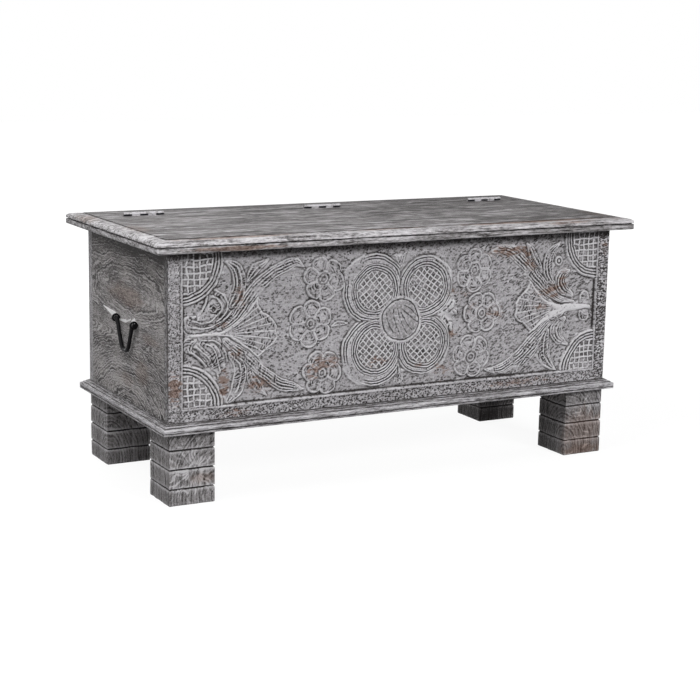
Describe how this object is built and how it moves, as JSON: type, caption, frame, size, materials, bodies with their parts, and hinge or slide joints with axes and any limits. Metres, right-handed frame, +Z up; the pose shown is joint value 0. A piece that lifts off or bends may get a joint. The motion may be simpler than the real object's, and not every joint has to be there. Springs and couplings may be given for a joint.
{
  "type": "damchiya chest",
  "caption": "Carved wooden chest on grooved block feet, with a hinged lid, a moulded top and base, and a drop bail handle on each side.",
  "frame": {"origin": "on the floor under the middle of the chest", "axes": "+X along the carved front to the right, +Y from the carved front to the back, +Z up"},
  "size_m": [0.95, 0.444, 0.4579],
  "materials": {
    "limed_wood": "limed and rubbed, matt",
    "bare_wood": "unfinished",
    "black_iron": "forged, blackened",
    "hinge_steel": "dull, limewash in the joints",
    "fixing_steel": "dull"
  },
  "bodies": {
    "carcass": {"back_board": "limed_wood", "base_moulding_back": "limed_wood", "base_moulding_front": "limed_wood", "base_moulding_left": "limed_wood", "base_moulding_right": "limed_wood", "bottom_plank_1": "bare_wood", "bottom_plank_2": "bare_wood", "bottom_plank_3": "bare_wood", "corner_dowels": "bare_wood", "foot_front_left": "limed_wood", "foot_front_right": "limed_wood", "foot_rear_left": "limed_wood", "foot_rear_right": "limed_wood", "foot_screws": "fixing_steel", "front_board": "limed_wood", "handle_left_eye_front": "black_iron", "handle_left_eye_rear": "black_iron", "handle_right_eye_front": "black_iron", "handle_right_eye_rear": "black_iron", "hinge_left_pin": "hinge_steel", "hinge_left_rail_leaf": "hinge_steel", "hinge_middle_pin": "hinge_steel", "hinge_middle_rail_leaf": "hinge_steel", "hinge_right_pin": "hinge_steel", "hinge_right_rail_leaf": "hinge_steel", "moulding_nails": "fixing_steel", "rail_dowels": "bare_wood", "rail_hinge_screws": "fixing_steel", "side_board_left": "limed_wood", "side_board_right": "limed_wood", "top_rear_rail": "limed_wood"},
    "lid": {"batten_screws": "fixing_steel", "hinge_left_lid_leaf": "hinge_steel", "hinge_middle_lid_leaf": "hinge_steel", "hinge_right_lid_leaf": "hinge_steel", "lid_batten_left": "bare_wood", "lid_batten_right": "bare_wood", "lid_hinge_screws": "fixing_steel", "lid_plank_1": "limed_wood", "lid_plank_2": "limed_wood", "lid_plank_3": "limed_wood"},
    "left_bail": {"handle_left_bail": "black_iron"},
    "right_bail": {"handle_right_bail": "black_iron"}
  },
  "joints": [
    {"name": "lid_hinge", "type": "hinge", "parent": "carcass", "child": "lid", "pos_m": [0, 0.115, 0.4547], "axis": [-1, 0, 0], "range_deg": [0, 180]},
    {"name": "left_bail_swing", "type": "hinge", "parent": "carcass", "child": "left_bail", "pos_m": [-0.4505, -0.01, 0.285], "axis": [0, 1, 0], "range_deg": [0, 180]},
    {"name": "right_bail_swing", "type": "hinge", "parent": "carcass", "child": "right_bail", "pos_m": [0.4505, -0.01, 0.285], "axis": [0, -1, 0], "range_deg": [0, 180]}
  ]
}
